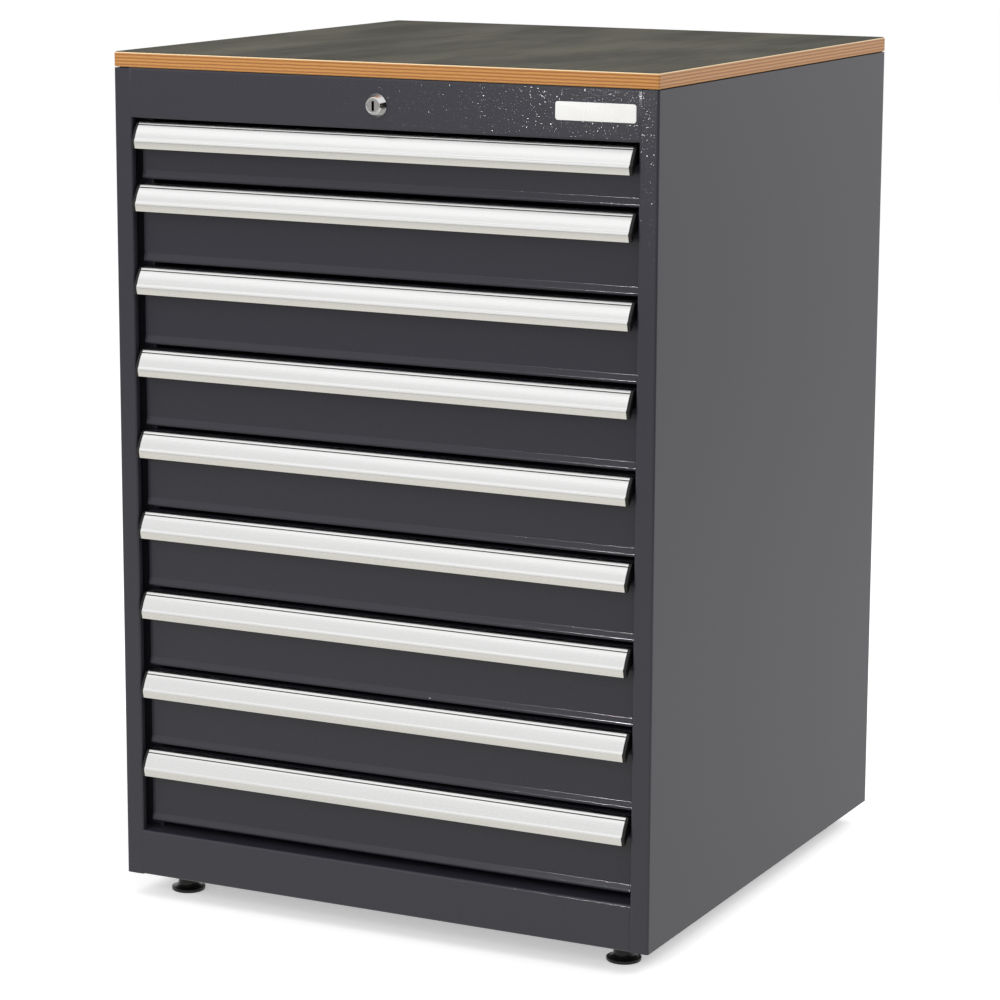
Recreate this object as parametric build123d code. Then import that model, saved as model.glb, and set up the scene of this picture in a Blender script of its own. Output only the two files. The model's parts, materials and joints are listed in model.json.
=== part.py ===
from build123d import *
import os
from math import cos, radians, sin

# Tool cabinet with nine full-extension drawers, a central lock, a plywood worktop and levelling feet.
# Millimetres. The floor is z = 0, the front faces -Y, and the origin is under the middle of the whole box.

# Housing
HOUSING_W = 710.0
HOUSING_D = 720.0
SHEET = 1.5
BEND = 1.5
STILE_W = 24.0
STILE_RETURN = 10.0
STILE_SEAM = 3.0
SIDE_DROP = 1.2
TOP_RAIL_H = 60.0
PLINTH_H = 57.0
REAR_SHEET = 1.2
DECK_FLANGE = 25.0
WELD_GAP = 0.2

# Worktop
WORKTOP_T = 18.0
FILM_T = 0.6
TOP_CHAMFER = 1.4
SHADOW_CHAMFER = 1.0
FILM_CORNER_R = 1.6
SCREW_R = 2.5
SCREW_DEPTH = 12.0
SCREW_HEAD_OVER = 2.5
SCREW_HEAD_T = 3.0
SCREW_INSET = 60.0
SCREW_ROWS = 3
HOLE_PLAY = 0.3
THREAD_PLAY = 0.05

# Drawers, from the top down
SHALLOW_PITCH = 75.0
DEEP_PITCH = 100.0
DEEP_DRAWERS = 8
TOP_GAP = 3.5
BOTTOM_GAP = 4.5
DRAWER_RECESS = 16.0
REAR_SPACE = 68.0
TRAY_SHEET = 1.2
TRAY_BEND = 2.0
FRONT_HEAD_GAP = 1.0
FRONT_FOOT_GAP = 4.5
FRONT_FLANGE = 12.0
FRONT_SIDE_GAP = 5.25
FLARE_H = 10.5
FLARE_OUT = 3.5
WALL_DROP = 12.0
RIM_W = 7.0

# Grip rail along each drawer front: heights above its lower edge, reaches in front of the drawer front
HANDLE_PROUD = 9.0
HANDLE_H = 31.5
HANDLE_WALL = 1.8
HANDLE_FLANGE = 17.5
LIP_H = 9.6
LIP_LEAN = 2.5
FACE_FOOT_H = 11.2
FACE_FOOT_BACK = 2.6
FACE_HEAD_H = 28.0
FACE_HEAD_REACH = 14.0
NOSE_REACH = 10.5
HANDLE_ROUND = 0.8
HANDLE_INNER_ROUND = 0.3
CAP_T = 4.0
CAP_SIDE_GAP = 4.0
CAP_TAB_L = 11.0
CAP_TAB_W = 6.0
CAP_TAB_H = 9.0
CAP_UNDERCUT = 9.0

# Telescopic runners: nested channels
POST_STEP = 11.0
POST_W = 30.0
POST_FRONT_GAP = 20.0
POST_REAR_GAP = 10.0
RAIL_H = 45.0
RAIL_T = 1.5
RAIL_BEND = 0.8
RAIL_LIP = 4.5
RAIL_CLEAR_OF_TRAY = 3.5
RAIL_RUN = 0.35
HAT_NECK_RUN = 0.65
HAT_BRIM_RUN = 0.95
RAIL_FRONT_GAP = 10.0
RAIL_REAR_INSET = 18.0
RAIL_RISE = 30.0

# Central lock
LOCK_BELOW_MIDDLE = 2.0
BARREL_R = 7.5
BEZEL_RIM = 1.8
BEZEL_TAPER = 4.7
BEZEL_PROUD = 8.5
LOCK_WALL = 2.0
LOCK_BODY_L = 26.0
LOCK_NUT_WALL = 4.0
LOCK_NUT_T = 5.0
BARREL_TAIL = 4.0
BARREL_SINK = 0.6
KEY_SLOT_W = 3.4
KEY_SLOT_H = 12.0
KEY_SLOT_DEPTH = 8.0
RUNNING_FIT = 0.05
SHAFT_R = 4.0
CRANK_R = 10.0
CRANK_REST = 45.0
CRANK_T = 4.0
CRANK_W = 10.0
CRANK_TO_BAR = 4.0
PIN_R = 2.5
PIN_PLAY = 0.7
PIN_TAIL = 2.0
BAR_EDGE = 7.0
BAR_T = 3.0
BAR_HEAD = 10.0
CATCH_L = 24.0
CATCH_W = 24.0
CATCH_T = 2.0
CATCH_RISE = 37.0
CATCH_LIP = 14.0
CATCH_PLAY = 3.0
CATCH_TO_BAR = 8.0
FINGER_W = 16.0
FINGER_T = 3.0
FINGER_CLEAR = 3.0
GUIDE_H = 16.0
GUIDE_WALL = 2.0
GUIDE_PLAY = 0.3
GUIDE_RISE = 2.0
BRACKET_T = 3.0
BRACKET_W = 24.0
BRACKET_FLANGE = 15.0
BRACKET_TO_CRANK = 18.0

# Levelling feet
FOOT_INSET_X = 55.0
FOOT_INSET_Y = 55.0
PAD_R = 21.0
PAD_RIM = 4.0
PAD_EDGE = 1.0
BELL_H = 7.0
NECK_R = 12.5
NECK_H = 7.0
STUD_R = 5.0
STUD_SHOWN = 6.0
STUD_SPARE = 18.0
SPANNER_WALL = 3.5
SPANNER_H = 6.0
FOOT_NUT_WALL = 3.5
FOOT_NUT_T = 8.0
FOOT_FLANGE_SPARE = 8.0

# Places that follow from the sizes above
pitches = [SHALLOW_PITCH] + [DEEP_PITCH] * DEEP_DRAWERS
HOUSING_H = PLINTH_H + BOTTOM_GAP + sum(pitches) + TOP_GAP + TOP_RAIL_H
half_w = HOUSING_W / 2
inside_w = half_w - SHEET
panel_w = inside_w - WELD_GAP
opening_w = half_w - STILE_W
bell_z = PAD_RIM + BELL_H
neck_z = bell_z + NECK_H
floor_z = neck_z + SPANNER_H + STUD_SHOWN
plinth_z = floor_z + PLINTH_H
housing_z = floor_z + HOUSING_H
top_rail_z = housing_z - TOP_RAIL_H
front_y = (HANDLE_PROUD - HOUSING_D) / 2
back_y = front_y + HOUSING_D
rear_panel_y = back_y - SHEET - REAR_SHEET
stile_back_y = front_y + STILE_RETURN
drawer_y = front_y + DRAWER_RECESS
tray_back_y = back_y - REAR_SPACE
front_w = opening_w - FRONT_SIDE_GAP
grip_w = opening_w - CAP_SIDE_GAP - CAP_T
post_w = opening_w - POST_STEP
rail_w = RAIL_CLEAR_OF_TRAY + 5 * RAIL_T + 3 * RAIL_RUN + HAT_BRIM_RUN
tray_w = post_w - rail_w
rail_y0 = drawer_y + FRONT_FLANGE + RAIL_FRONT_GAP
rail_y1 = tray_back_y - RAIL_REAR_INSET
lip_reach = DRAWER_RECESS + HANDLE_PROUD
corner_r = FILM_CORNER_R + TOP_CHAMFER
lock_z = housing_z - TOP_RAIL_H / 2 - LOCK_BELOW_MIDDLE
lock_body_r = BARREL_R + LOCK_WALL
catch_y = tray_back_y + CATCH_L
bar_y = catch_y + CATCH_TO_BAR
crank_y = bar_y - CRANK_TO_BAR - CRANK_T
pin_rise = CRANK_R * sin(radians(CRANK_REST))
bar_drop = 2 * pin_rise
bar_w = CRANK_R + PIN_R + PIN_PLAY + BAR_EDGE
foot_x = half_w - FOOT_INSET_X
foot_ys = (front_y + FOOT_INSET_Y, back_y - FOOT_INSET_Y)

# The lower edge of each drawer's own space, from the top drawer down
cells = []
cell_z = top_rail_z - TOP_GAP
for pitch in pitches:
    cell_z = cell_z - pitch
    cells.append(cell_z)


def mitred(path, wall):
    """The corners of an open path moved to its left by the wall's thickness."""
    points = [Vector(*point) for point in path]
    headings = [(after - before).normalized() for before, after in zip(points, points[1:])]
    lefts = [Vector(-heading.Y, heading.X) for heading in headings]
    moved = [points[0] + lefts[0] * wall]
    for corner, before, after in zip(points[1:-1], lefts, lefts[1:]):
        moved.append(corner + (before + after) * (wall / (1 + before.dot(after))))
    moved.append(points[-1] + lefts[-1] * wall)
    return moved


def rounded(path, left_r, right_r):
    """An open path with one radius at its left turns and another at its right turns."""
    points = [Vector(*point) for point in path]
    radii = []
    for before, corner, after in zip(points, points[1:], points[2:]):
        turns_left = (corner - before).cross(after - corner).Z > 0
        radii.append(left_r if turns_left else right_r)
    return FilletPolyline(*points, radius=radii)


def bent(path, wall, inner_r, outer_r):
    """The section of a wall that follows a path, with the thickness to the left of the path."""
    near = rounded(path, outer_r, inner_r)
    far = rounded(mitred(path, wall), inner_r, outer_r)
    ends = [Line(near @ 0, far @ 0), Line(near @ 1, far @ 1)]
    return make_face(near.edges() + far.edges() + ends)


def folded(path):
    return bent(path, SHEET, BEND, BEND + SHEET)


def along_x(section, x0, x1):
    """A section drawn in Y and Z, carried from x0 to x1."""
    return extrude(Plane.YZ.offset(x0) * section, amount=x1 - x0, dir=(1, 0, 0))


def along_y(section, y0, y1):
    """A section drawn in X and Z, carried from y0 to y1."""
    return extrude(Plane.XZ.offset(-y0) * section, amount=y1 - y0, dir=(0, 1, 0))


def along_z(section, z0, z1):
    """A section drawn in X and Y, carried from z0 to z1."""
    return extrude(Plane.XY.offset(z0) * section, amount=z1 - z0, dir=(0, 0, 1))


def block(x0, x1, y0, y1, z0, z1):
    return Pos(x0, y0, z0) * Box(x1 - x0, y1 - y0, z1 - z0, align=(Align.MIN,) * 3)


def upright(radius, x, y, z0, z1):
    return Pos(x, y, z0) * extrude(Circle(radius), amount=z1 - z0)


def level(radius, x, z, y0, y1):
    return along_y(Pos(x, z) * Circle(radius), y0, y1)


def hexagon(flat_r):
    """Hexagon given by the distance from its middle to a flat."""
    return RegularPolygon(flat_r, 6, major_radius=False)


def other_side(piece):
    return mirror(piece, about=Plane.YZ)


def both_sides(piece):
    return [piece, other_side(piece)]


# Housing panels

def side_panel():
    """Right-hand panel: box-folded stile, side and rear flange in one sheet, ending just below the worktop."""
    path = [
        (inside_w - STILE_SEAM, stile_back_y),
        (opening_w, stile_back_y),
        (opening_w, front_y),
        (half_w, front_y),
        (half_w, back_y),
        (opening_w, back_y),
    ]
    return along_z(folded(path), floor_z, housing_z - SIDE_DROP)


def rear_panel():
    width = inside_w - BEND - WELD_GAP
    return block(-width, width, rear_panel_y, back_y - SHEET, floor_z, housing_z)


def cross_rail(z0, z1):
    """Folded channel between the stiles and flush with them, open to the back."""
    path = [(stile_back_y, z1), (front_y, z1), (front_y, z0), (stile_back_y, z0)]
    width = opening_w - WELD_GAP
    return along_x(folded(path), -width, width)


def top_rail():
    hole = level(lock_body_r + HOLE_PLAY, 0, lock_z, front_y, front_y + SHEET)
    return cross_rail(top_rail_z, housing_z) - hole


def plinth():
    return cross_rail(floor_z, plinth_z)


def screw_places():
    """Rows of worktop screws near the left and right edges of the deck."""
    first_y = stile_back_y + SCREW_INSET
    step = (rear_panel_y - SCREW_INSET - first_y) / (SCREW_ROWS - 1)
    x = half_w - SCREW_INSET
    return [(side * x, first_y + row * step) for side in (-1, 1) for row in range(SCREW_ROWS)]


def top_panel():
    low = housing_z - DECK_FLANGE
    path = [(panel_w, low), (panel_w, housing_z), (-panel_w, housing_z), (-panel_w, low)]
    deck = along_y(folded(path), stile_back_y, rear_panel_y)
    for x, y in screw_places():
        deck -= upright(SCREW_R + HOLE_PLAY, x, y, housing_z - SHEET, housing_z)
    return deck


def foot_places():
    return [(side * foot_x, y) for y in foot_ys for side in (-1, 1)]


def base_panel():
    """Floor of the housing, folded down and in at both sides to carry the feet."""
    inner = foot_x - PAD_R - FOOT_FLANGE_SPARE
    right = [(inner, floor_z), (panel_w, floor_z), (panel_w, plinth_z)]
    left = [(-panel_w, plinth_z), (-panel_w, floor_z), (-inner, floor_z)]
    panel = along_y(folded(right + left), stile_back_y, rear_panel_y)
    for x, y in foot_places():
        panel -= upright(STUD_R + HOLE_PLAY, x, y, floor_z, floor_z + SHEET)
    return panel


def runner_posts():
    front = stile_back_y + POST_FRONT_GAP
    rear = tray_back_y - POST_REAR_GAP - POST_W
    posts = []
    for y0 in (front, rear):
        y1 = y0 + POST_W
        path = [(inside_w, y1), (post_w, y1), (post_w, y0), (inside_w, y0)]
        posts += both_sides(along_z(folded(path), plinth_z, housing_z - DECK_FLANGE))
    return posts


# Worktop

def worktop_board():
    board_z = housing_z + WORKTOP_T - FILM_T
    board = block(-half_w, half_w, front_y, back_y, housing_z, board_z)
    board = fillet(board.edges().filter_by(Axis.Z), corner_r)
    board = chamfer(board.faces().sort_by(Axis.Z)[-1].edges(), TOP_CHAMFER)
    board = chamfer(board.faces().sort_by(Axis.Z)[0].edges(), SHADOW_CHAMFER)
    for x, y in screw_places():
        board -= upright(SCREW_R + THREAD_PLAY, x, y, housing_z, housing_z + SCREW_DEPTH)
    return board


def worktop_film():
    top_z = housing_z + WORKTOP_T
    edge = TOP_CHAMFER
    film = block(edge - half_w, half_w - edge, front_y + edge, back_y - edge, top_z - FILM_T, top_z)
    return fillet(film.edges().filter_by(Axis.Z), FILM_CORNER_R)


def worktop_screws():
    head_z = housing_z - SHEET
    screws = []
    for x, y in screw_places():
        head = upright(SCREW_R + SCREW_HEAD_OVER, x, y, head_z - SCREW_HEAD_T, head_z)
        screws.append(head + upright(SCREW_R, x, y, head_z, housing_z + SCREW_DEPTH))
    return screws


# Telescopic runners, drawn for the right-hand side with the rail's middle at height zero

def channel_section(nest):
    """Lipped channel open towards the tray; each nested channel is one wall and one running gap smaller."""
    shrink = nest * (RAIL_T + RAIL_RUN)
    near = tray_w + RAIL_CLEAR_OF_TRAY + shrink
    far = tray_w + rail_w - shrink
    high = RAIL_H / 2 - shrink
    lip = high - RAIL_LIP
    path = [(near, -lip), (near, -high), (far, -high), (far, high), (near, high), (near, lip)]
    return bent(path, RAIL_T, RAIL_BEND, RAIL_BEND + RAIL_T)


def hat_section():
    """Hat profile on the tray's side, with its brims behind the lips of the middle channel."""
    shrink = RAIL_T + RAIL_RUN
    brim = tray_w + RAIL_CLEAR_OF_TRAY + 2 * shrink
    brim_z = RAIL_H / 2 - 2 * shrink
    waist_z = RAIL_H / 2 - shrink - RAIL_LIP - HAT_NECK_RUN
    path = [
        (brim, brim_z),
        (brim, waist_z),
        (tray_w, waist_z),
        (tray_w, -waist_z),
        (brim, -waist_z),
        (brim, -brim_z),
    ]
    return bent(path, RAIL_T, RAIL_BEND, RAIL_BEND + RAIL_T)


def runner(section):
    return Pos(0, 0, RAIL_RISE) * along_y(section, rail_y0, rail_y1)


# Drawers, drawn with the lower edge of the drawer's own space at height zero

def drawer_front(pitch):
    """Front sheet: flange at its head, flat face, flared foot turned under."""
    head = pitch - FRONT_HEAD_GAP
    foot = FRONT_FOOT_GAP
    path = [
        (drawer_y + FRONT_FLANGE, head),
        (drawer_y, head),
        (drawer_y, foot + FLARE_H),
        (drawer_y - FLARE_OUT, foot),
        (drawer_y + FRONT_FLANGE, foot),
    ]
    section = bent(path, TRAY_SHEET, TRAY_BEND, TRAY_BEND + TRAY_SHEET)
    front = along_x(section, -front_w, front_w)
    lap = TRAY_SHEET / 2
    edge = block(
        front_w - TRAY_SHEET, front_w, drawer_y + lap, drawer_y + FRONT_FLANGE, foot + FLARE_H, head - lap
    )
    return front + both_sides(edge)


def lock_catch():
    """Bracket on the tray's back with an upturned lip for the lock finger."""
    width = CATCH_W / 2
    plate = block(-width, width, tray_back_y - TRAY_SHEET, catch_y, CATCH_RISE, CATCH_RISE + CATCH_T)
    return plate + block(-width, width, catch_y - CATCH_T, catch_y, CATCH_RISE, CATCH_RISE + CATCH_LIP)


def tray(pitch):
    """Tray welded to its front, with the runner hats on its sides and the lock catch on its back."""
    low = FRONT_FOOT_GAP + TRAY_SHEET
    high = pitch - WALL_DROP
    near = drawer_y + TRAY_SHEET / 2
    shell = block(-tray_w, tray_w, near, tray_back_y, low, high)
    inner_w = tray_w - TRAY_SHEET
    room = block(-inner_w, inner_w, near, tray_back_y - TRAY_SHEET, low + TRAY_SHEET, high)
    rim = block(inner_w, tray_w + RIM_W, rail_y0, tray_back_y, high - TRAY_SHEET, high)
    hat = runner(hat_section())
    return drawer_front(pitch) + (shell - room) + both_sides(rim) + both_sides(hat) + lock_catch()


def grip_points(pitch):
    """Outer line of the grip rail, from the foot of its flange over the nose to the lip's lower edge."""
    head = pitch - FRONT_HEAD_GAP
    foot = head - HANDLE_H
    return [
        (drawer_y, head - HANDLE_FLANGE),
        (drawer_y, head),
        (drawer_y - NOSE_REACH, head),
        (drawer_y - FACE_HEAD_REACH, foot + FACE_HEAD_H),
        (drawer_y - lip_reach + FACE_FOOT_BACK, foot + FACE_FOOT_H),
        (drawer_y - lip_reach, foot + LIP_H),
        (drawer_y - lip_reach + LIP_LEAN, foot),
    ]


def handle(pitch):
    section = bent(grip_points(pitch), HANDLE_WALL, HANDLE_INNER_ROUND, HANDLE_ROUND)
    return along_x(section, -grip_w, grip_w)


def end_caps(pitch):
    """Caps that close both ends of the grip rail, each with a tab behind the lip."""
    points = grip_points(pitch)
    flange_foot = points[0]
    lip_y, lip_z = points[-1]
    lip_back_y = lip_y + HANDLE_WALL
    outline = rounded(points, HANDLE_ROUND, HANDLE_INNER_ROUND)
    undercut = (lip_y + CAP_UNDERCUT, lip_z + CAP_UNDERCUT)
    closing = Polyline((lip_y, lip_z), (lip_back_y, lip_z), undercut, flange_foot)
    plate = along_x(make_face(outline.edges() + closing.edges()), grip_w, grip_w + CAP_T)
    tab_y = lip_back_y + HANDLE_WALL
    tab = block(grip_w - CAP_TAB_L, grip_w + CAP_T, tab_y, tab_y + CAP_TAB_W, lip_z, lip_z + CAP_TAB_H)
    return both_sides(plate + tab)


# Central lock

def lock_case():
    """Tapered bezel in front of the top rail and a round body through it, bored for the barrel."""
    face_y = front_y - BEZEL_PROUD
    face_r = BARREL_R + BEZEL_RIM
    bezel = loft([
        Plane.XZ.offset(-front_y) * Pos(0, lock_z) * Circle(face_r + BEZEL_TAPER),
        Plane.XZ.offset(-face_y) * Pos(0, lock_z) * Circle(face_r),
    ])
    body = level(lock_body_r, 0, lock_z, front_y, front_y + LOCK_BODY_L)
    return bezel + body - level(BARREL_R + RUNNING_FIT, 0, lock_z, face_y, front_y + LOCK_BODY_L)


def lock_nut():
    bored = hexagon(lock_body_r + LOCK_NUT_WALL) - Circle(lock_body_r + THREAD_PLAY)
    return along_y(Pos(0, lock_z) * bored, front_y + SHEET, front_y + SHEET + LOCK_NUT_T)


def barrel_tail_y():
    return front_y + LOCK_BODY_L + BARREL_TAIL


def lock_barrel():
    face_y = front_y - BEZEL_PROUD + BARREL_SINK
    plug = level(BARREL_R, 0, lock_z, face_y, barrel_tail_y())
    slot = Pos(0, lock_z) * SlotOverall(KEY_SLOT_H, KEY_SLOT_W, rotation=90)
    return plug - along_y(slot, face_y, face_y + KEY_SLOT_DEPTH)


def pin_place():
    return CRANK_R * cos(radians(CRANK_REST)), lock_z + pin_rise


def lock_shaft():
    """Rod from the barrel to the back, with a crank and its pin."""
    rod = level(SHAFT_R, 0, lock_z, barrel_tail_y(), crank_y + CRANK_T)
    arm_section = Pos(CRANK_R / 2, 0) * SlotCenterToCenter(CRANK_R, CRANK_W)
    arm = along_y(Pos(0, lock_z) * Rot(0, 0, CRANK_REST) * arm_section, crank_y, crank_y + CRANK_T)
    pin_x, pin_z = pin_place()
    pin = level(PIN_R, pin_x, pin_z, crank_y + CRANK_T, bar_y + BAR_T + PIN_TAIL)
    return rod + arm + pin


def finger_z(cell):
    """Underside of a lock finger at rest: clear of the catch's lip also when the bar is down."""
    return cell + CATCH_RISE + CATCH_LIP + bar_drop + FINGER_CLEAR / 2


def lock_bar():
    """Upright bar with a slot for the crank pin and a hooked finger over each drawer's catch."""
    pin_x, pin_z = pin_place()
    low = finger_z(cells[-1])
    high = pin_z + PIN_R + PIN_PLAY + BAR_HEAD
    bar = block(-bar_w, bar_w, bar_y, bar_y + BAR_T, low, high)
    slot_h = 2 * (PIN_R + PIN_PLAY)
    slot_x0 = pin_x - PIN_R - PIN_PLAY
    slot_x1 = CRANK_R + PIN_R + PIN_PLAY
    bar -= block(slot_x0, slot_x1, bar_y, bar_y + BAR_T, pin_z - slot_h / 2, pin_z + slot_h / 2)
    tip_y = catch_y - CATCH_T - CATCH_PLAY - FINGER_T
    for cell in cells:
        z = finger_z(cell)
        tip_z = cell + CATCH_RISE + CATCH_LIP + FINGER_CLEAR
        bar += block(-FINGER_W / 2, FINGER_W / 2, tip_y, bar_y, z, z + FINGER_T)
        bar += block(-FINGER_W / 2, FINGER_W / 2, tip_y, tip_y + FINGER_T, tip_z, z + FINGER_T)
    return bar


def bar_guide(cell):
    """Strap on the rear panel that holds the bar on all four sides."""
    z0 = cell + GUIDE_RISE
    z1 = z0 + GUIDE_H
    slot_w = bar_w + GUIDE_PLAY
    width = slot_w + GUIDE_WALL
    slot_y0 = bar_y - GUIDE_PLAY
    slot_y1 = bar_y + BAR_T + GUIDE_PLAY
    strap = block(-width, width, slot_y0 - GUIDE_WALL, rear_panel_y, z0, z1)
    strap -= block(-slot_w, slot_w, slot_y0, slot_y1, z0, z1)
    return strap - block(-slot_w, slot_w, slot_y1 + GUIDE_WALL, rear_panel_y, z0, z1)


def shaft_bracket():
    """Angle under the deck that the shaft turns in."""
    y1 = crank_y - BRACKET_TO_CRANK
    y0 = y1 - BRACKET_T
    high = housing_z - SHEET
    width = BRACKET_W / 2
    plate = block(-width, width, y0, y1, lock_z - width, high)
    flange = block(-width, width, y0 - BRACKET_FLANGE, y1, high - BRACKET_T, high)
    return plate + flange - level(SHAFT_R + RUNNING_FIT, 0, lock_z, y0, y1)


def lock_guides():
    guided = (cells[1], cells[len(cells) // 2], cells[-1])
    return [bar_guide(cell) for cell in guided] + [shaft_bracket()]


# Levelling feet

def bell_section():
    """Half section of the pad: rounded rim, hollow-sided bell and neck."""
    outline = Polyline(
        (PAD_R, PAD_RIM),
        (PAD_R, PAD_EDGE),
        (PAD_R - PAD_EDGE, 0),
        (0, 0),
        (0, neck_z),
        (NECK_R, neck_z),
        (NECK_R, bell_z),
    )
    flank = EllipticalCenterArc((PAD_R, bell_z), PAD_R - NECK_R, BELL_H, 180, arc_size=90)
    return make_face(outline.edges() + flank.edges())


def foot(x, y):
    """Bell-shaped pad with a hexagon for the spanner and a stud that turns in the nut."""
    pad = Pos(x, y) * revolve(Plane.XZ * bell_section(), axis=Axis.Z)
    spanner = along_z(Pos(x, y) * hexagon(STUD_R + SPANNER_WALL), neck_z, neck_z + SPANNER_H)
    stud_z = floor_z + SHEET + FOOT_NUT_T + STUD_SPARE
    return pad + spanner + upright(STUD_R, x, y, neck_z, stud_z)


def foot_nuts():
    bored = hexagon(STUD_R + FOOT_NUT_WALL) - Circle(STUD_R + RUNNING_FIT)
    z0 = floor_z + SHEET
    return [along_z(Pos(x, y) * bored, z0, z0 + FOOT_NUT_T) for x, y in foot_places()]


# One file for each named piece

def save(name, *pieces):
    solids = [solid for piece in pieces for solid in piece.solids()]
    whole = solids[0] if len(solids) == 1 else Compound(solids)
    export_step(whole, f"parts/{name}.step")


os.makedirs("parts", exist_ok=True)

right_side = side_panel()
save("side_panel_right", right_side)
save("side_panel_left", other_side(right_side))
save("rear_panel", rear_panel())
save("top_panel", top_panel())
save("top_rail", top_rail())
save("base_panel", base_panel())
save("plinth", plinth())
save("runner_posts", *runner_posts())

cabinet_rail = runner(channel_section(0))
cabinet_rails = [Pos(0, 0, cell) * cabinet_rail for cell in cells]
save("cabinet_rails_right", *cabinet_rails)
save("cabinet_rails_left", *[other_side(rail) for rail in cabinet_rails])

save("worktop_board", worktop_board())
save("worktop_film", worktop_film())
save("worktop_screws", *worktop_screws())

trays = {pitch: tray(pitch) for pitch in set(pitches)}
middle_rails = both_sides(runner(channel_section(1)))
for number, (cell, pitch) in enumerate(zip(cells, pitches), start=1):
    place = Pos(0, 0, cell)
    save(f"drawer_{number}_tray", place * trays[pitch])
    save(f"drawer_{number}_handle", place * handle(pitch))
    save(f"drawer_{number}_end_caps", *[place * cap for cap in end_caps(pitch)])
    save(f"drawer_{number}_middle_rails", *[place * rail for rail in middle_rails])

save("lock_case", lock_case())
save("lock_nut", lock_nut())
save("lock_barrel", lock_barrel())
save("lock_shaft", lock_shaft())
save("lock_bar", lock_bar())
save("lock_guides", *lock_guides())

foot_names = ("foot_front_left", "foot_front_right", "foot_rear_left", "foot_rear_right")
for name, (x, y) in zip(foot_names, foot_places()):
    save(name, foot(x, y))
save("foot_nuts", *foot_nuts())
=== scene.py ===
# %% [markdown]
# # A workshop drawer cabinet
# This lesson dresses a steel cabinet with nine drawers, aluminium grip rails, a central lock, a plywood worktop and
# black levelling feet. The solids and their joints come ready-made at their true size, in metres, standing on z = 0
# with the front facing -Y. This script adds the finishes and remakes the few pieces whose small detail the eye looks
# for.

# %% Load the cabinet
import json
import math
import bmesh
import bpy
from mathutils import Matrix, Vector


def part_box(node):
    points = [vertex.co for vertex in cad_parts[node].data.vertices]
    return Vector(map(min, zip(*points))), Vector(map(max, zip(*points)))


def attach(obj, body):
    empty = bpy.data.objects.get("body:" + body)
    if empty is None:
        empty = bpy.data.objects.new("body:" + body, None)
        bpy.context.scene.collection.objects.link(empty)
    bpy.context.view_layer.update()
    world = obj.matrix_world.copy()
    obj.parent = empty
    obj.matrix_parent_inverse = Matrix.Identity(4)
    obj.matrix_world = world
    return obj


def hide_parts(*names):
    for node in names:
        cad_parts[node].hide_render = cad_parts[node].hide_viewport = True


MM = 0.001
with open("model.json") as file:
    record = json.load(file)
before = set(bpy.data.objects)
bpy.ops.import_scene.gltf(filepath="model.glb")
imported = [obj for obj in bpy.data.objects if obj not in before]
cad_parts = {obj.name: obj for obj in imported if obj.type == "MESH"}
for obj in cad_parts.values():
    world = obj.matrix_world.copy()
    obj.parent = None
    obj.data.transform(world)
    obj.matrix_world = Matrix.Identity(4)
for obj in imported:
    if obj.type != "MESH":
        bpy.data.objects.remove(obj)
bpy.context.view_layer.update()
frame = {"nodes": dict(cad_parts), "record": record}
slot_of = {part["node"]: part["material_slot"] for part in frame["record"]["subparts"]}
drawers = range(1, 10)

# %% [markdown]
# ## The camera
# The picture was taken with a long lens from the cabinet's right, a little above its top, so upright edges stay almost
# parallel. A camera could be aimed with a Track To constraint. Here its three axes are written as a rotation matrix
# from yaw, pitch and roll, because then each angle has a plain meaning and the small roll is not lost.

# %% Stand the camera
YAW, PITCH, ROLL = 26.296, 11.302, 0.26
CAMERA_PLACE = (1.8909, -3.8559, 1.3310)
SENSOR_W, LENS = 36, 124.183
FAR_CLIP = 100
yaw, pitch, roll = (math.radians(angle) for angle in (YAW, PITCH, ROLL))
back = Vector((math.sin(yaw) * math.cos(pitch), -math.cos(yaw) * math.cos(pitch), math.sin(pitch)))
level = Vector((math.cos(yaw), math.sin(yaw), 0))
upward = back.cross(level)
right = level * math.cos(roll) + upward * math.sin(roll)
above = upward * math.cos(roll) - level * math.sin(roll)
camera = bpy.data.objects.new("camera", bpy.data.cameras.new("camera"))
camera.data.sensor_width = SENSOR_W
camera.data.lens = LENS
camera.data.clip_end = FAR_CLIP
camera.matrix_world = Matrix.Translation(CAMERA_PLACE) @ Matrix((right, above, back)).transposed().to_4x4()
bpy.context.scene.collection.objects.link(camera)
bpy.context.scene.camera = camera
bpy.context.scene.view_settings.view_transform = "Standard"
print("camera", round((camera.location - Vector((0, 0, 0.5))).length, 2), "m from the cabinet's middle")

# %% [markdown]
# ## White surroundings
# A product picture is taken in a white room: every way one looks is white, yet the walls light the cabinet only
# softly. The Light Path node tells the kinds of ray apart, so the world can be plain white to the eye and in
# reflections, and weaker as a source of light.

# %% Paint the room white
def link(tree, source, target):
    tree.links.new(source, target)


def any_ray(tree, *kinds):
    """1 for a ray of any of the named kinds, else 0."""
    path = tree.nodes.new("ShaderNodeLightPath")
    found = path.outputs[kinds[0]]
    for kind in kinds[1:]:
        either = tree.nodes.new("ShaderNodeMath")
        either.operation = "MAXIMUM"
        link(tree, found, either.inputs[0])
        link(tree, path.outputs[kind], either.inputs[1])
        found = either.outputs[0]
    return found


ROOM_LIGHT = 0.62
room = bpy.data.worlds.new("white room")
bpy.context.scene.world = room
room.use_nodes = True
strength = room.node_tree.nodes.new("ShaderNodeMapRange")
strength.inputs["To Min"].default_value = ROOM_LIGHT
strength.inputs["To Max"].default_value = 1.0
shown = any_ray(room.node_tree, "Is Camera Ray", "Is Glossy Ray", "Is Transmission Ray")
link(room.node_tree, shown, strength.inputs["Value"])
link(room.node_tree, strength.outputs["Result"], room.node_tree.nodes["Background"].inputs["Strength"])
room.node_tree.nodes["Background"].inputs["Color"].default_value = (1, 1, 1, 1)
print("room lights at", ROOM_LIGHT, "of the white it shows")

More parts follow.
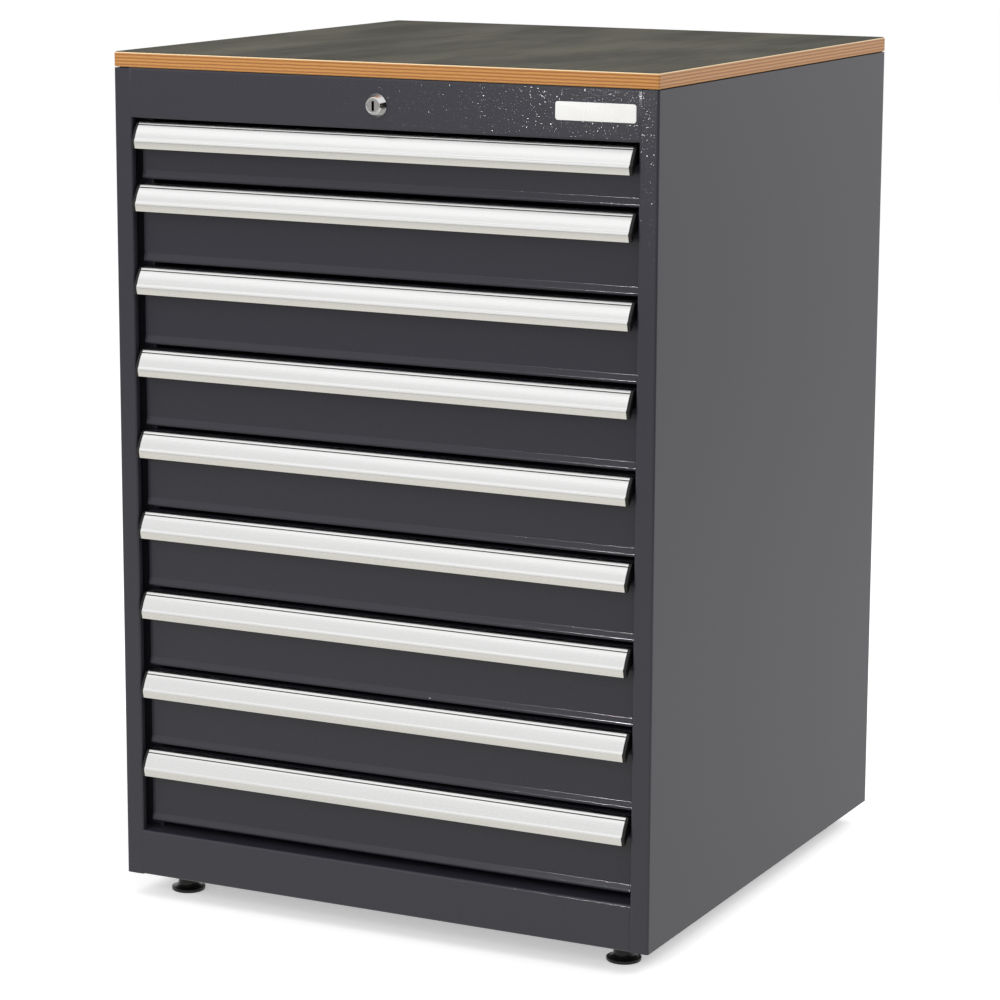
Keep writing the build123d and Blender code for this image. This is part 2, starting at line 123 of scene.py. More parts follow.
# %% [markdown]
# ## Wiring helpers
# Floor and finishes are each a small tree of nodes that reads Object coordinates, which are metres in the cabinet's own
# frame. So one pattern runs at its real size over all pieces, and it travels with a drawer that slides out. The helpers
# below only shorten the wiring.

# %% Wiring helpers
def new_finish(name):
    finish = bpy.data.materials.new(name)
    finish.use_nodes = True
    tree = finish.node_tree
    return finish, tree, tree.nodes["Principled BSDF"]


def place_of(tree, stretch=(1, 1, 1)):
    """Object coordinates, stretched along each axis."""
    spot = tree.nodes.new("ShaderNodeTexCoord")
    mapping = tree.nodes.new("ShaderNodeMapping")
    mapping.inputs["Scale"].default_value = stretch
    link(tree, spot.outputs["Object"], mapping.inputs["Vector"])
    return mapping.outputs["Vector"]


def along(tree, axis):
    """One of the Object coordinates X, Y and Z."""
    spot = tree.nodes.new("ShaderNodeTexCoord")
    split = tree.nodes.new("ShaderNodeSeparateXYZ")
    link(tree, spot.outputs["Object"], split.inputs[0])
    return split.outputs[axis]


def noise(tree, vector, scale, detail=2.0, roughness=0.5):
    """Noise from 0 to 1, its scale in waves to the metre."""
    grain = tree.nodes.new("ShaderNodeTexNoise")
    grain.inputs["Scale"].default_value = scale
    grain.inputs["Detail"].default_value = detail
    grain.inputs["Roughness"].default_value = roughness
    link(tree, vector, grain.inputs["Vector"])
    return grain.outputs["Fac"]


def spread(tree, value, low, high, from_low=0.3, from_high=0.7):
    """Maps a noise value onto a span of numbers."""
    mapped = tree.nodes.new("ShaderNodeMapRange")
    mapped.inputs["From Min"].default_value = from_low
    mapped.inputs["From Max"].default_value = from_high
    mapped.inputs["To Min"].default_value = low
    mapped.inputs["To Max"].default_value = high
    link(tree, value, mapped.inputs["Value"])
    return mapped.outputs["Result"]


def tint(tree, value, *stops):
    """A colour ramp: each stop is a place from 0 to 1 and a colour."""
    ramp = tree.nodes.new("ShaderNodeValToRGB")
    while len(ramp.color_ramp.elements) < len(stops):
        ramp.color_ramp.elements.new(1.0)
    for element, (place, colour) in zip(ramp.color_ramp.elements, stops):
        element.position = place
        element.color = (*colour, 1)
    link(tree, value, ramp.inputs["Fac"])
    return ramp.outputs["Color"]


def blend(tree, share, first, second):
    """The first colour where the share is 0, the second where it is 1."""
    mix = tree.nodes.new("ShaderNodeMix")
    mix.data_type = "RGBA"
    link(tree, share, mix.inputs["Factor"])
    link(tree, first, mix.inputs[6])
    link(tree, second, mix.inputs[7])
    return mix.outputs[2]


def bump(tree, height, depth, strength):
    relief = tree.nodes.new("ShaderNodeBump")
    relief.inputs["Strength"].default_value = strength
    relief.inputs["Distance"].default_value = depth
    link(tree, height, relief.inputs["Height"])
    return relief.outputs["Normal"]


finishes = {}
print("wiring helpers ready")

# %% [markdown]
# ## The floor
# The floor is the same white as the room, but it must keep the cabinet's shadow. Part of its white is its own glow,
# which no shadow can take away, and the rest is light it reflects. The share between the two sets how dark the shadow
# gets. Both add up to a trace over white, so no edge shows where floor and room meet. Mirrored in metal and paint it is
# paper that mostly glows, coloured with painted light: dimmer far in front, brighter and warm near the cabinet as if
# lamps lit it there, which gives the lips of the grip rails their beige, and neutral behind.

# %% Lay the floor
SHADOW_SHARE = 0.95
FULL_WHITE = 1.01
# Paper colours seen only in reflections, graded along Y as painted light.
FAR_PAPER_PAINTED_DIM = (0.46, 0.45, 0.43)
NEAR_PAPER_PAINTED_LIT = (0.87, 0.85, 0.785)
REAR_PAPER = (0.86, 0.86, 0.86)
WHITE_PAPER = (1.0, 1.0, 1.0)
FAR_Y, REAR_Y = -4.0, 0.2
NEAR_FROM, NEAR_TO = 0.65, 0.8
PAPER_GLOW = 0.8
FLOOR_REACH = 40


def paper_shader(tree, colour, glow, strength):
    """Paper that glows by itself for a part and reflects light for the rest."""
    lit = tree.nodes.new("ShaderNodeBsdfDiffuse")
    bright = tree.nodes.new("ShaderNodeEmission")
    bright.inputs["Strength"].default_value = strength
    both = tree.nodes.new("ShaderNodeMixShader")
    both.inputs["Fac"].default_value = glow
    for number, shader in enumerate((lit, bright), start=1):
        link(tree, colour, shader.inputs["Color"])
        link(tree, shader.outputs[0], both.inputs[number])
    return both.outputs[0]


paper = bpy.data.materials.new("white paper floor")
paper.use_nodes = True
tree = paper.node_tree
tree.nodes.remove(tree.nodes["Principled BSDF"])
white = tree.nodes.new("ShaderNodeRGB")
white.outputs[0].default_value = (*WHITE_PAPER, 1)
glow = 1 - SHADOW_SHARE
own_light = FULL_WHITE - SHADOW_SHARE * ROOM_LIGHT
seen = paper_shader(tree, white.outputs[0], glow, own_light / glow)
# Painted light on the mirrored paper: brighter near the cabinet, dimmer far in front.
nearness = spread(tree, along(tree, "Y"), 0, 1, FAR_Y, REAR_Y)
shade = tint(tree, nearness, (0.0, FAR_PAPER_PAINTED_DIM), (NEAR_FROM, NEAR_PAPER_PAINTED_LIT), (NEAR_TO, NEAR_PAPER_PAINTED_LIT), (1.0, REAR_PAPER))
mirrored = paper_shader(tree, shade, PAPER_GLOW, 1.0)
chosen = tree.nodes.new("ShaderNodeMixShader")
link(tree, any_ray(tree, "Is Camera Ray", "Is Transmission Ray"), chosen.inputs["Fac"])
link(tree, mirrored, chosen.inputs[1])
link(tree, seen, chosen.inputs[2])
link(tree, chosen.outputs[0], tree.nodes["Material Output"].inputs["Surface"])
bm = bmesh.new()
bmesh.ops.create_grid(bm, x_segments=1, y_segments=1, size=FLOOR_REACH)
sheet = bpy.data.meshes.new("floor")
bm.to_mesh(sheet)
bm.free()
sheet.materials.append(paper)
floor = bpy.data.objects.new("floor", sheet)
bpy.context.scene.collection.objects.link(floor)
print("floor keeps", round(own_light, 3), "of its white in the deepest shadow")

# %% [markdown]
# ## The lamps
# Soft lamps above and in front light the cabinet without being mirrored, because the white room is already there. One
# at the right lights the floor alone, so that no shadow is left on that side. Two more are there to be mirrored: a
# faint wide one high in front makes each grip rail brighter towards its upper edge, and one behind at the right lays a
# sheen on the right side. A small lamp far off makes the glints of the paint: seen in the flat front it would stand
# just above the upper right corner, so the coat sparkles there and along each bend that turns a little towards it. The
# painted solids are linked to it when they are dressed.

# %% Hang the lamps
def softbox(name, place, aim, size, watts, matt=True, mirrored=True):
    """An area lamp that may be left out for matt surfaces or for mirrors."""
    lamp = bpy.data.lights.new(name, "AREA")
    lamp.shape = "RECTANGLE"
    lamp.size, lamp.size_y = size
    lamp.energy = watts
    holder = bpy.data.objects.new(name, lamp)
    holder.location = place
    holder.rotation_euler = (Vector(aim) - Vector(place)).to_track_quat("-Z", "Y").to_euler()
    holder.visible_camera = False
    holder.visible_diffuse = matt
    holder.visible_glossy = mirrored
    bpy.context.scene.collection.objects.link(holder)
    return holder


softbox("top_softbox", place=(0.2, -0.8, 3.2), aim=(0, -0.3, 0.9), size=(2.4, 2.4), watts=18, mirrored=False)
softbox("front_softbox", place=(-1.2, -3.4, 1.8), aim=(0, 0, 0.5), size=(1.6, 1.6), watts=40, mirrored=False)
floor_softbox = softbox("floor_softbox", place=(2.4, 1.0, 2.6), aim=(0.9, 0, 0), size=(1.6, 1.6), watts=45,
                        mirrored=False)
softbox("rail_softbox", place=(-0.8, -1.95, 2.9), aim=(0, -0.36, 0.6), size=(3.0, 0.9), watts=2.8)
softbox("sheen_softbox", place=(2.6, 2.6, 2.0), aim=(0.35, 0.1, 0.8), size=(2.2, 2.2), watts=24, matt=False)
glint_lamp = softbox("glint_lamp", place=(-1.82, -5.36, 1.1), aim=(0.3, -0.36, 0.8), size=(0.24, 0.24), watts=60,
                     matt=False)
floor_only = bpy.data.collections.new("floor only")
floor_only.objects.link(floor)
floor_softbox.light_linking.receiver_collection = floor_only
glinting = bpy.data.collections.new("glinting paint")
glint_lamp.light_linking.receiver_collection = glinting

# %% [markdown]
# ## A dark card
# Photographers hold a dark card beside a pale studio so that round edges and chrome get a dark line to be read by. Here
# it stands at the right, out of the camera's view, and only mirrors see it.

# %% Stand the dark card
CARD_SIZE = (1.6, 2.4)
CARD_PLACE = Vector((2.75, -1.0, 1.0))
CARD_AIM = Vector((0.35, -0.36, 0.8))
CARD_BLACK = (0.004, 0.004, 0.004)
bm = bmesh.new()
bmesh.ops.create_grid(bm, x_segments=1, y_segments=1, size=0.5)
bmesh.ops.scale(bm, vec=(*CARD_SIZE, 1), verts=bm.verts)
sheet = bpy.data.meshes.new("dark_card")
bm.to_mesh(sheet)
bm.free()
black = bpy.data.materials.new("black card")
black.use_nodes = True
black.node_tree.nodes["Principled BSDF"].inputs["Base Color"].default_value = (*CARD_BLACK, 1)
black.node_tree.nodes["Principled BSDF"].inputs["Roughness"].default_value = 1.0
sheet.materials.append(black)
card = bpy.data.objects.new("dark_card", sheet)
card.location = CARD_PLACE
card.rotation_euler = (CARD_AIM - CARD_PLACE).to_track_quat("-Z", "Y").to_euler()
card.visible_camera = False
card.visible_diffuse = False
card.visible_shadow = False
bpy.context.scene.collection.objects.link(card)
print("dark card", CARD_SIZE, "m")

# %% [markdown]
# ## Dark powder coat
# Housing and drawers are sprayed with dark grey powder that melts into a fine orange-peel skin. On flat parts it looks
# plain, but near a lamp's mirror angle and along each bend single grains flash. One noise bump gives the dull skin its
# softness. A stronger one tilts the clear top layer, but only in the few spots that a second noise picks, so that
# single grains catch the lamp.

# %% Mix the powder coat
GRAIN_SIZE = 2.5 * MM
FLASH_SIZE = 1.3 * MM
FLASH_FROM, FLASH_FULL = 0.55, 0.59
HOUSING_RELIEF = 0.22 * MM
DRAWER_RELIEF = 0.13 * MM
DULL_SHARE = 0.2


def powder_coat(name, dark, light, relief):
    finish, tree, shader = new_finish(name)
    spot = place_of(tree)
    speckle = noise(tree, spot, 1 / GRAIN_SIZE, 2.0)
    link(tree, tint(tree, speckle, (0.3, dark), (0.7, light)), shader.inputs["Base Color"])
    link(tree, spread(tree, speckle, 0.44, 0.50), shader.inputs["Roughness"])
    shader.inputs["Specular IOR Level"].default_value = 0.12
    grains = noise(tree, spot, 1 / GRAIN_SIZE, 1.0)
    link(tree, bump(tree, grains, relief, DULL_SHARE), shader.inputs["Normal"])
    shader.inputs["Coat Weight"].default_value = 0.5
    shader.inputs["Coat Roughness"].default_value = 0.1
    flashing = spread(tree, noise(tree, spot, 1 / FLASH_SIZE, 1.0), 0, 1, FLASH_FROM, FLASH_FULL)
    skin = bump(tree, grains, relief, 1.0)
    link(tree, flashing, skin.node.inputs["Strength"])
    link(tree, skin, shader.inputs["Coat Normal"])
    return finish


# The drawers' greys are darker than the housing's: painted shade for the recess behind the grip rails.
housing_greys = (0.0315, 0.031, 0.0425), (0.0355, 0.035, 0.0465)
drawer_greys_painted_shade = (0.0245, 0.024, 0.0345), (0.0285, 0.028, 0.0385)
finishes["housing_paint"] = powder_coat("dark powder coat", *housing_greys, HOUSING_RELIEF)
finishes["drawer_paint"] = powder_coat("drawer powder coat with painted shade", *drawer_greys_painted_shade, DRAWER_RELIEF)
print("powder coat grains", round(GRAIN_SIZE / MM, 2), "mm")

# %% [markdown]
# ## Satin aluminium
# The grip rails are extruded, so they carry faint lines along their length, and anodising turns the shine to satin.
# Noise drawn out more than a hundredfold along X makes the lines, and the same noise moves the roughness a little.

# %% Anodise the rails
DRAWN_OUT = (3, 500, 500)
ALUMINIUM_DARK, ALUMINIUM_LIGHT = (0.725, 0.725, 0.72), (0.765, 0.765, 0.76)


def satin_aluminium():
    finish, tree, shader = new_finish("satin aluminium")
    lines = noise(tree, place_of(tree, DRAWN_OUT), 2.0, 3.0)
    link(tree, tint(tree, lines, (0.25, ALUMINIUM_DARK), (0.75, ALUMINIUM_LIGHT)), shader.inputs["Base Color"])
    link(tree, spread(tree, lines, 0.24, 0.32), shader.inputs["Roughness"])
    link(tree, bump(tree, lines, 0.03 * MM, 0.08), shader.inputs["Normal"])
    shader.inputs["Metallic"].default_value = 1.0
    return finish


finishes["aluminium"] = satin_aluminium()
print("satin aluminium ready")

# %% [markdown]
# ## Plastic, zinc and chrome
# The end caps and feet are moulded black plastic with a spark-eroded grain. The runners are bright zinc, slightly
# cloudy from the bath. The lock is polished chrome with a few fine scratches from keys.

# %% Mould, plate and polish
MOULD_CLOUD, MOULD_PATCH, MOULD_GRAIN = 60.0, 30.0, 1500.0
MOULD_DARK, MOULD_LIGHT = (0.005, 0.005, 0.005), (0.009, 0.009, 0.009)
BATH_CLOUD, BATH_LINES = 45.0, 900.0
KEY_SCRATCH = 1600.0
SCRATCH_STRETCH = (1, 1, 0.2)
CHROME_DARK, CHROME_LIGHT = (0.66, 0.66, 0.67), (0.74, 0.74, 0.75)


def moulded_plastic():
    finish, tree, shader = new_finish("moulded black plastic")
    spot = place_of(tree)
    cloud = noise(tree, spot, MOULD_CLOUD)
    link(tree, tint(tree, cloud, (0.3, MOULD_DARK), (0.7, MOULD_LIGHT)), shader.inputs["Base Color"])
    link(tree, spread(tree, noise(tree, spot, MOULD_PATCH), 0.26, 0.36), shader.inputs["Roughness"])
    shader.inputs["Specular IOR Level"].default_value = 0.3
    link(tree, bump(tree, noise(tree, spot, MOULD_GRAIN, 1.0), 0.1 * MM, 0.2), shader.inputs["Normal"])
    return finish


def zinc_plate():
    finish, tree, shader = new_finish("zinc plate")
    cloud = noise(tree, place_of(tree), BATH_CLOUD, 4.0)
    link(tree, tint(tree, cloud, (0.3, (0.50, 0.51, 0.52)), (0.7, (0.62, 0.63, 0.64))), shader.inputs["Base Color"])
    link(tree, spread(tree, cloud, 0.28, 0.42), shader.inputs["Roughness"])
    lines = noise(tree, place_of(tree, (1, 0.05, 1)), BATH_LINES)
    link(tree, bump(tree, lines, 0.05 * MM, 0.15), shader.inputs["Normal"])
    shader.inputs["Metallic"].default_value = 1.0
    return finish


def polished_chrome():
    finish, tree, shader = new_finish("polished chrome")
    scratches = noise(tree, place_of(tree, SCRATCH_STRETCH), KEY_SCRATCH)
    link(tree, tint(tree, scratches, (0.3, CHROME_DARK), (0.7, CHROME_LIGHT)), shader.inputs["Base Color"])
    link(tree, spread(tree, scratches, 0.07, 0.14), shader.inputs["Roughness"])
    shader.inputs["Metallic"].default_value = 1.0
    return finish


finishes["black_plastic"] = moulded_plastic()
finishes["zinc_steel"] = zinc_plate()
finishes["chrome"] = polished_chrome()
print(sorted(finishes))

# %% [markdown]
# ## Plywood edge and worktop film
# The board is plywood whose veneers lie crosswise in turn, so on any edge every second layer shows end grain and
# looks darker. The layer number comes from the height, wobbled a little, and its parity picks the colour. A pale band
# along the top edge is a painted highlight, where the chamfer would catch the light from above. A dark phenolic film
# with a faint grain from front to back covers the top.

# %% Press the board
VENEERS = 9
ARRIS_H = 1.1 * MM
ARRIS_FADE = 0.8
WOBBLE = 0.05
PALE = (0.525, 0.241, 0.063), (0.655, 0.325, 0.101)
RUDDY = (0.313, 0.111, 0.026), (0.44, 0.178, 0.052)
ARRIS_HIGHLIGHT = (0.94, 0.70, 0.42), (0.97, 0.78, 0.52)
FILM_DARK, FILM_LIGHT = (0.028, 0.0265, 0.0185), (0.102, 0.096, 0.071)
STREAK_SHARE, CLOUD_SHARE = 0.75, 0.25
OFF, ON = (0, 0, 0), (1, 1, 1)
board_low, board_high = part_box("worktop_board")


def plywood_edge():
    finish, tree, shader = new_finish("plywood edge")
    height = along(tree, "Z")
    layer = spread(tree, height, 0, VENEERS / 2, board_low.z, board_high.z)
    wobble = spread(tree, noise(tree, place_of(tree, (1, 1, 0.2)), 60.0), -WOBBLE, WOBBLE)
    moved = tree.nodes.new("ShaderNodeMath")
    link(tree, layer, moved.inputs[0])
    link(tree, wobble, moved.inputs[1])
    parity = tree.nodes.new("ShaderNodeMath")
    parity.operation = "FRACT"
    link(tree, moved.outputs[0], parity.inputs[0])
    fibres = noise(tree, place_of(tree, (1, 1, 12)), 90.0, 4.0, 0.6)
    pale, ruddy, arris_highlight = (tint(tree, fibres, (0.25, dark), (0.75, light)) for dark, light in (PALE, RUDDY, ARRIS_HIGHLIGHT))
    stripe = tint(tree, parity.outputs[0], (0.0, OFF), (0.5, OFF), (0.56, ON), (0.94, ON), (1.0, OFF))
    # Painted highlight: the colour turns pale within the top ARRIS_H of the board's edge.
    highlight_band = spread(tree, height, 0, 1, board_high.z - ARRIS_H, board_high.z - ARRIS_FADE * ARRIS_H)
    link(tree, blend(tree, highlight_band, blend(tree, stripe, pale, ruddy), arris_highlight), shader.inputs["Base Color"])
    link(tree, spread(tree, fibres, 0.42, 0.58), shader.inputs["Roughness"])
    link(tree, bump(tree, fibres, 0.1 * MM, 0.3), shader.inputs["Normal"])
    shader.inputs["Coat Weight"].default_value = 0.08
    shader.inputs["Coat Roughness"].default_value = 0.25
    return finish


def worktop_film():
    finish, tree, shader = new_finish("worktop film")
    streaks = noise(tree, place_of(tree, (1, 0.04, 1)), 300.0, 4.0, 0.7)
    cloud = noise(tree, place_of(tree, (1, 0.3, 1)), 12.0, 3.0)
    mixed = tree.nodes.new("ShaderNodeMath")
    mixed.operation = "MULTIPLY_ADD"
    link(tree, streaks, mixed.inputs[0])
    mixed.inputs[1].default_value = STREAK_SHARE
    link(tree, spread(tree, cloud, 0.0, CLOUD_SHARE), mixed.inputs[2])
    link(tree, tint(tree, mixed.outputs[0], (0.35, FILM_DARK), (0.65, FILM_LIGHT)), shader.inputs["Base Color"])
    link(tree, spread(tree, streaks, 0.58, 0.72), shader.inputs["Roughness"])
    shader.inputs["Specular IOR Level"].default_value = 0.06
    link(tree, bump(tree, streaks, 0.1 * MM, 0.3), shader.inputs["Normal"])
    return finish


finishes["plywood"] = plywood_edge()
finishes["dark_film"] = worktop_film()
print(VENEERS, "veneers in", round((board_high.z - board_low.z) / MM, 1), "mm")

# %% [markdown]
# ## Turning a bmesh into a piece
# Each remade piece is shaped in a bmesh, shaded smooth between its sharp edges, given its finish, and told which body
# it rides on and which solids it stands for.

# %% Piece maker
NEAR = 0.1 * MM


def keep(bm, name, body, slot, replaced=(), sharp=35):
    mesh = bpy.data.meshes.new(name)
    bm.to_mesh(mesh)
    bm.free()
    mesh.shade_smooth()
    mesh.set_sharp_from_angle(angle=math.radians(sharp))
    mesh.materials.append(finishes[slot])
    piece = bpy.data.objects.new(name, mesh)
    bpy.context.scene.collection.objects.link(piece)
    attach(piece, body)
    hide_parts(*replaced)
    return piece


def section_face(bm, x, points):
    """One face in the plane across X, from its corners as (y, z)."""
    return bm.faces.new([bm.verts.new((x, y, z)) for y, z in points])


def pull(bm, face, along):
    """Extrudes a face into a closed solid."""
    made = bmesh.ops.extrude_face_region(bm, geom=[face], use_keep_orig=True)
    moved = [part for part in made["geom"] if isinstance(part, bmesh.types.BMVert)]
    bmesh.ops.translate(bm, vec=along, verts=moved)
    bmesh.ops.recalc_face_normals(bm, faces=bm.faces)


print("piece maker ready")

# %% [markdown]
# ## Grip rails
# Each drawer is pulled by an extruded rail as long as its front: a flat top, a bevelled nose, a fine groove where a
# label strip slides in, a slightly domed face and a lip for the fingers. One section drawn as a single face and
# extruded along X makes it. Rounding the section's corners first is cheaper than bevelling the long edges later. The
# groove's faces get a dark grey finish of their own: painted shade for the deep, narrow groove.

# %% Extrude the rails
RAIL_SECTION = [
    (0.0, 14.0), (0.0, 31.5), (11.0, 31.5), (13.5, 28.8), (12.45, 28.3), (12.6, 27.6), (13.9, 27.8), (17.0, 23.4),
    (19.3, 19.5), (21.2, 15.7), (22.6, 12.1), (25.0, 9.6), (22.5, 0.0), (20.7, 0.4), (22.8, 8.2), (20.9, 9.6),
    (11.6, 27.2), (9.6, 29.7), (1.8, 29.7), (1.8, 14.0),
]
ROUNDED = {2: 0.5, 3: 0.3, 6: 0.3, 10: 0.9, 11: 1.9, 12: 0.6}
GROOVE_REACH = (12.1, 13.4)
GROOVE_RISE = (27.4, 28.8)


# Dark grey for the groove's faces: painted shade.
def groove_painted_shade():
    finish, tree, shader = new_finish("groove with painted shade")
    groove_tone = noise(tree, place_of(tree, (0.2, 1, 1)), 400.0, 3.0)
    link(tree, tint(tree, groove_tone, (0.3, (0.07, 0.068, 0.062)), (0.7, (0.13, 0.126, 0.115))), shader.inputs["Base Color"])
    link(tree, spread(tree, groove_tone, 0.7, 0.9), shader.inputs["Roughness"])
    return finish


groove_shade_finish = groove_painted_shade()


def grip_rail(number):
    low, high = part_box(f"drawer_{number}_handle")
    bm = bmesh.new()
    face = section_face(bm, low.x, [(high.y - reach * MM, low.z + rise * MM) for reach, rise in RAIL_SECTION])
    corners = {spot: face.verts[spot] for spot in ROUNDED}
    for spot, radius in ROUNDED.items():
        bmesh.ops.bevel(bm, geom=[corners[spot]], offset=radius * MM, affect="VERTICES", segments=3, profile=0.5,
                        material=-1)
    pull(bm, bm.faces[:][0], (high.x - low.x, 0, 0))
    rail = keep(bm, f"grip_rail_{number}", f"drawer_{number}", "aluminium", [f"drawer_{number}_handle"], 20)
    # The groove's faces take the painted shade finish.
    rail.data.materials.append(groove_shade_finish)
    for polygon in rail.data.polygons:
        reach, rise = (high.y - polygon.center.y) / MM, (polygon.center.z - low.z) / MM
        in_groove = GROOVE_REACH[0] < reach < GROOVE_REACH[1] and GROOVE_RISE[0] < rise < GROOVE_RISE[1]
        if in_groove and abs(polygon.normal.x) < 0.5:
            polygon.material_index = 1
    return rail


rails = [grip_rail(number) for number in drawers]
print(len(rails), "grip rails of", len(rails[0].data.polygons), "faces")

# %% [markdown]
# ## End caps
# A moulded cap closes each end of a rail, with a tab that grips behind the lip. It follows the rail's outline, and its
# outer rim is rounded, because a moulded edge is never sharp and the round is what catches the light. The section is
# pulled to the cap's thickness, then the rim's edges are bevelled.

# %% Mould the end caps
CAP_SECTION = [
    (0.0, 14.0), (0.0, 31.5), (11.0, 31.5), (13.5, 28.8), (17.0, 23.4), (19.3, 19.5), (21.2, 15.7), (22.6, 12.1),
    (25.0, 9.6), (22.5, 0.0), (20.7, 0.0), (13.5, 9.0),
]
TAB_SECTION = [(18.9, 0.0), (18.9, 9.0), (12.9, 9.0), (12.9, 0.0)]
TAB_L = 11.0
RIM_ROUND = 1.2


def end_caps(number):
    low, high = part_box(f"drawer_{number}_end_caps")
    rail_low, rail_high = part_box(f"drawer_{number}_handle")
    bm = bmesh.new()
    for inner, outer in ((rail_low.x, low.x), (rail_high.x, high.x)):
        inward = TAB_L * MM if inner < 0 else -TAB_L * MM
        for section, x, length in ((CAP_SECTION, inner, outer - inner), (TAB_SECTION, inner, inward)):
            face = section_face(bm, x, [(high.y - reach * MM, low.z + rise * MM) for reach, rise in section])
            pull(bm, face, (length, 0, 0))
    ends = (low.x, high.x)
    rim = [edge for edge in bm.edges
           if all(min(abs(vert.co.x - end) for end in ends) < NEAR for vert in edge.verts)]
    bmesh.ops.bevel(bm, geom=rim, offset=RIM_ROUND * MM, affect="EDGES", segments=4, profile=0.5, material=-1)
    return keep(bm, f"end_caps_{number}", f"drawer_{number}", "black_plastic", [f"drawer_{number}_end_caps"])


caps = [end_caps(number) for number in drawers]
print(len(caps), "pairs of end caps of", len(caps[0].data.polygons), "faces")

# %% [markdown]
# ## Ground welds
# The stiles are rounded where they fold, so a groove is left beside the top rail and the plinth. On the real housing it
# is welded full and ground flush before painting, and the front looks like one sheet. Each weld is a sliver between
# the flat of the rail and the stile's round, pulled upwards, with its two ends rounded as the rail is. Beside the
# plinth the weld stays a little lower, so a faint seam is left.

# %% Fill the welds
FOLD_R = 3.0
FOLD_STEPS = 6
WELD_W = 0.2


def weld(name, rail, side, sunk):
    low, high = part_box(rail)
    rail_x = high.x / MM
    stile_x = rail_x + WELD_W
    front = low.y / MM + sunk
    turns = [math.radians(90 * step / FOLD_STEPS) for step in range(FOLD_STEPS + 1)]
    fold = [(stile_x + FOLD_R - FOLD_R * math.sin(turn), front + FOLD_R - FOLD_R * math.cos(turn)) for turn in turns]
    outline = [(rail_x, front + FOLD_R), (rail_x, front)] + fold
    bm = bmesh.new()
    face = bm.faces.new([bm.verts.new((side * x * MM, y * MM, low.z)) for x, y in outline])
    pull(bm, face, (0, 0, high.z - low.z))
    ends = [edge for edge in bm.edges if all(vert.co.y < front * MM + NEAR for vert in edge.verts)
            and abs(edge.verts[0].co.z - edge.verts[1].co.z) < NEAR]
    bmesh.ops.bevel(bm, geom=ends, offset=FOLD_R * MM, affect="EDGES", segments=4, profile=0.5, material=-1)
    return keep(bm, name, "housing", "housing_paint")


welds = []
for rail, sunk in (("top_rail", 0.0), ("plinth", 0.3)):
    for end, side in (("left", -1), ("right", 1)):
        welds.append(weld(f"weld_{rail}_{end}", rail, side, sunk))
print(len(welds), "welds")

# %% [markdown]
# ## The blank plate
# A white plate with round corners is stuck on the right of the top rail. It is left blank here. One face takes the
# plate's outline, its corners are rounded, and it is pulled to the plate's thickness with a soft edge.

# %% Stick on the plate
PLATE_CENTRE = (278.0, 1002.1)
PLATE_SIZE = (99.4, 21.0)
PLATE_T = 0.8
CORNER_R = 3.2
SOFT_R = 0.3


def blank_white():
    finish, tree, shader = new_finish("blank white plate")
    spot = place_of(tree)
    link(tree, tint(tree, noise(tree, spot, 40.0), (0.3, (0.90, 0.90, 0.90)), (0.7, (0.93, 0.93, 0.93))),
         shader.inputs["Base Color"])
    link(tree, spread(tree, noise(tree, spot, 200.0), 0.28, 0.36), shader.inputs["Roughness"])
    return finish


def blank_plate():
    rail_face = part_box("top_rail")[0].y
    bm = bmesh.new()
    half_w, half_h = PLATE_SIZE[0] / 2, PLATE_SIZE[1] / 2
    corners = [(-half_w, -half_h), (half_w, -half_h), (half_w, half_h), (-half_w, half_h)]
    spots = [((PLATE_CENTRE[0] + x) * MM, rail_face, (PLATE_CENTRE[1] + z) * MM) for x, z in corners]
    bm.faces.new([bm.verts.new(spot) for spot in spots])
    bmesh.ops.bevel(bm, geom=bm.verts[:], offset=CORNER_R * MM, affect="VERTICES", segments=6, profile=0.5, material=-1)
    pull(bm, bm.faces[:][0], (0, -PLATE_T * MM, 0))
    rim = [edge for edge in bm.edges if all(vert.co.y < rail_face - 0.5 * PLATE_T * MM for vert in edge.verts)]
    bmesh.ops.bevel(bm, geom=rim, offset=SOFT_R * MM, affect="EDGES", segments=2, profile=0.5, material=-1)
    piece = keep(bm, "blank_plate", "housing", "housing_paint")
    piece.data.materials[0] = blank_white()
    return piece


print("blank plate of", len(blank_plate().data.polygons), "faces")

# %% [markdown]
# ## The lock's rosette
# Around the key barrel sits the chrome case of the lock: a round body through the top rail, and in front of it a
# rosette with a thin flange, a cone and a rolled rim. It is turned on a lathe, so its half section, a closed line of
# radius and height, is spun about the lock's axis.

# %% Turn the rosette
BODY_R = 9.5
BORE_R = 7.56
LATHE_STEPS = 72
SAME_SPOT = 0.001 * MM
ROSETTE_SECTION = [(14.0, 0.0), (14.0, 0.9), (13.5, 1.6), (10.5, 6.9), (9.9, 7.9), (9.2, 8.5), (8.2, 8.5), (7.7, 8.2),
                   (BORE_R, 7.6)]


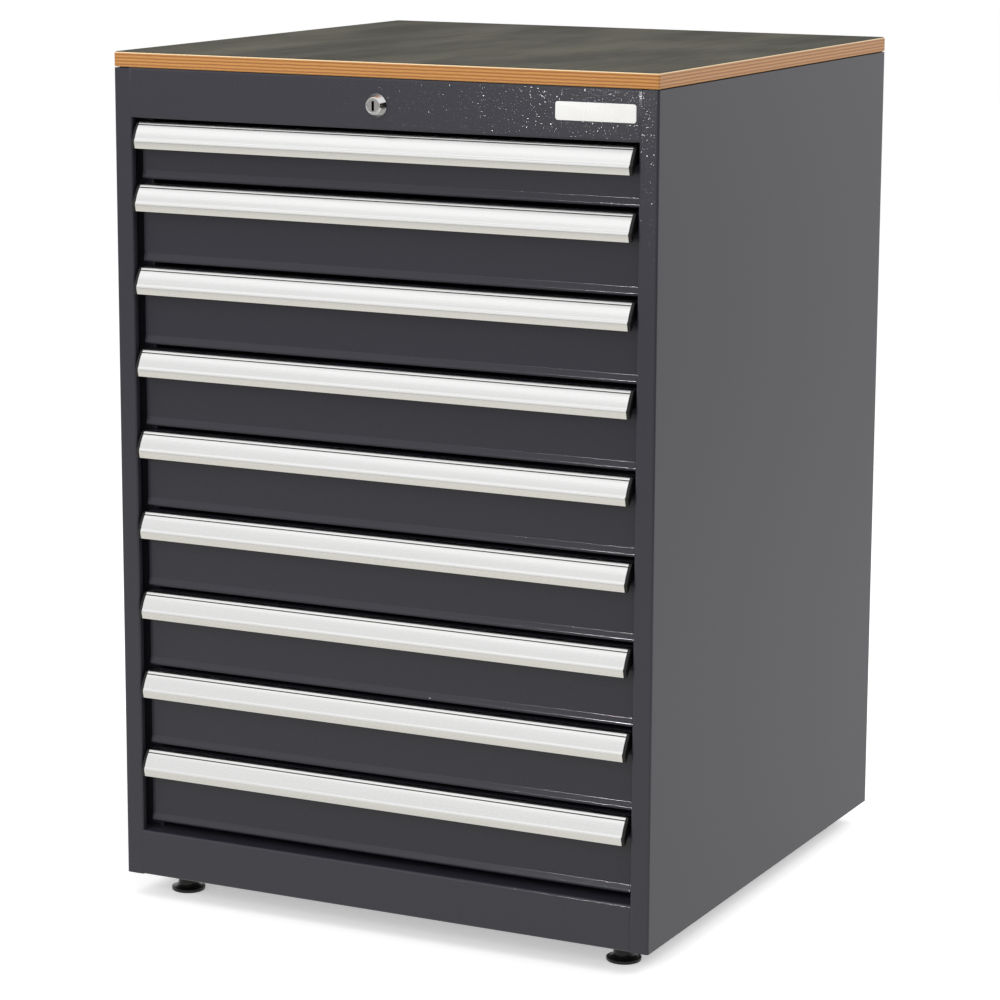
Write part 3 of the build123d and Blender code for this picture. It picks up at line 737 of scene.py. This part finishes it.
def rosette():
    low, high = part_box("lock_case")
    rail_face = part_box("top_rail")[0].y
    axis = Vector(((low.x + high.x) / 2, rail_face, (low.z + high.z) / 2))
    length = (high.y - rail_face) / MM
    section = [(BORE_R, -length), (BODY_R, -length), (BODY_R, 0.0)] + ROSETTE_SECTION
    bm = bmesh.new()
    verts = [bm.verts.new(axis + Vector((radius, -proud, 0)) * MM) for radius, proud in section]
    edges = [bm.edges.new(pair) for pair in zip(verts, verts[1:] + verts[:1])]
    bmesh.ops.spin(bm, geom=verts + edges, cent=axis, axis=(0, 1, 0), angle=math.tau, steps=LATHE_STEPS,
                   use_merge=True)
    bmesh.ops.remove_doubles(bm, verts=bm.verts, dist=SAME_SPOT)
    bmesh.ops.recalc_face_normals(bm, faces=bm.faces)
    return keep(bm, "lock_rosette", "housing", "chrome", ["lock_case"], 25)


print("rosette of", len(rosette().data.polygons), "faces")

# %% [markdown]
# ## The key barrel
# The barrel's face is chrome. Deeper in the keyway its colour turns near black and its surface rougher: painted shade
# for the bottom of the narrow slot. The depth behind the face, read along Y, tells the two apart, so one finish serves
# the whole barrel.

# %% Darken the keyway
# Below this depth the keyway is painted near black as shade.
SHADE_DEPTH = 0.5 * MM
KEYWAY_SHADE_DARK, KEYWAY_SHADE_LIGHT = (0.010, 0.010, 0.010), (0.022, 0.020, 0.018)


def keyed_chrome():
    finish, tree, shader = new_finish("chrome with a dark keyway")
    face_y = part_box("lock_barrel")[0].y
    sunk = spread(tree, along(tree, "Y"), 0, 1, face_y + 0.5 * SHADE_DEPTH, face_y + SHADE_DEPTH)
    scratches = noise(tree, place_of(tree, SCRATCH_STRETCH), KEY_SCRATCH)
    bright = tint(tree, scratches, (0.3, CHROME_DARK), (0.7, CHROME_LIGHT))
    keyway_shade = tint(tree, scratches, (0.3, KEYWAY_SHADE_DARK), (0.7, KEYWAY_SHADE_LIGHT))
    link(tree, blend(tree, sunk, bright, keyway_shade), shader.inputs["Base Color"])
    link(tree, spread(tree, sunk, 0.1, 0.6, 0, 1), shader.inputs["Roughness"])
    shader.inputs["Metallic"].default_value = 1.0
    return finish


own_finish = {"lock_barrel": keyed_chrome()}
print("keyway dark below", SHADE_DEPTH / MM, "mm")

# %% [markdown]
# ## Dressing the solids
# All other pieces keep the solids they came with. Each one names its finish in the record, so one loop dresses them,
# and the painted ones are linked to the lamp that makes the glints.

# %% Dress the solids
for name, node in frame["nodes"].items():
    node.data.materials.clear()
    node.data.materials.append(own_finish.get(name, finishes[slot_of[name]]))
    if slot_of[name] in ("housing_paint", "drawer_paint"):
        glinting.objects.link(node)
for piece in welds:
    glinting.objects.link(piece)
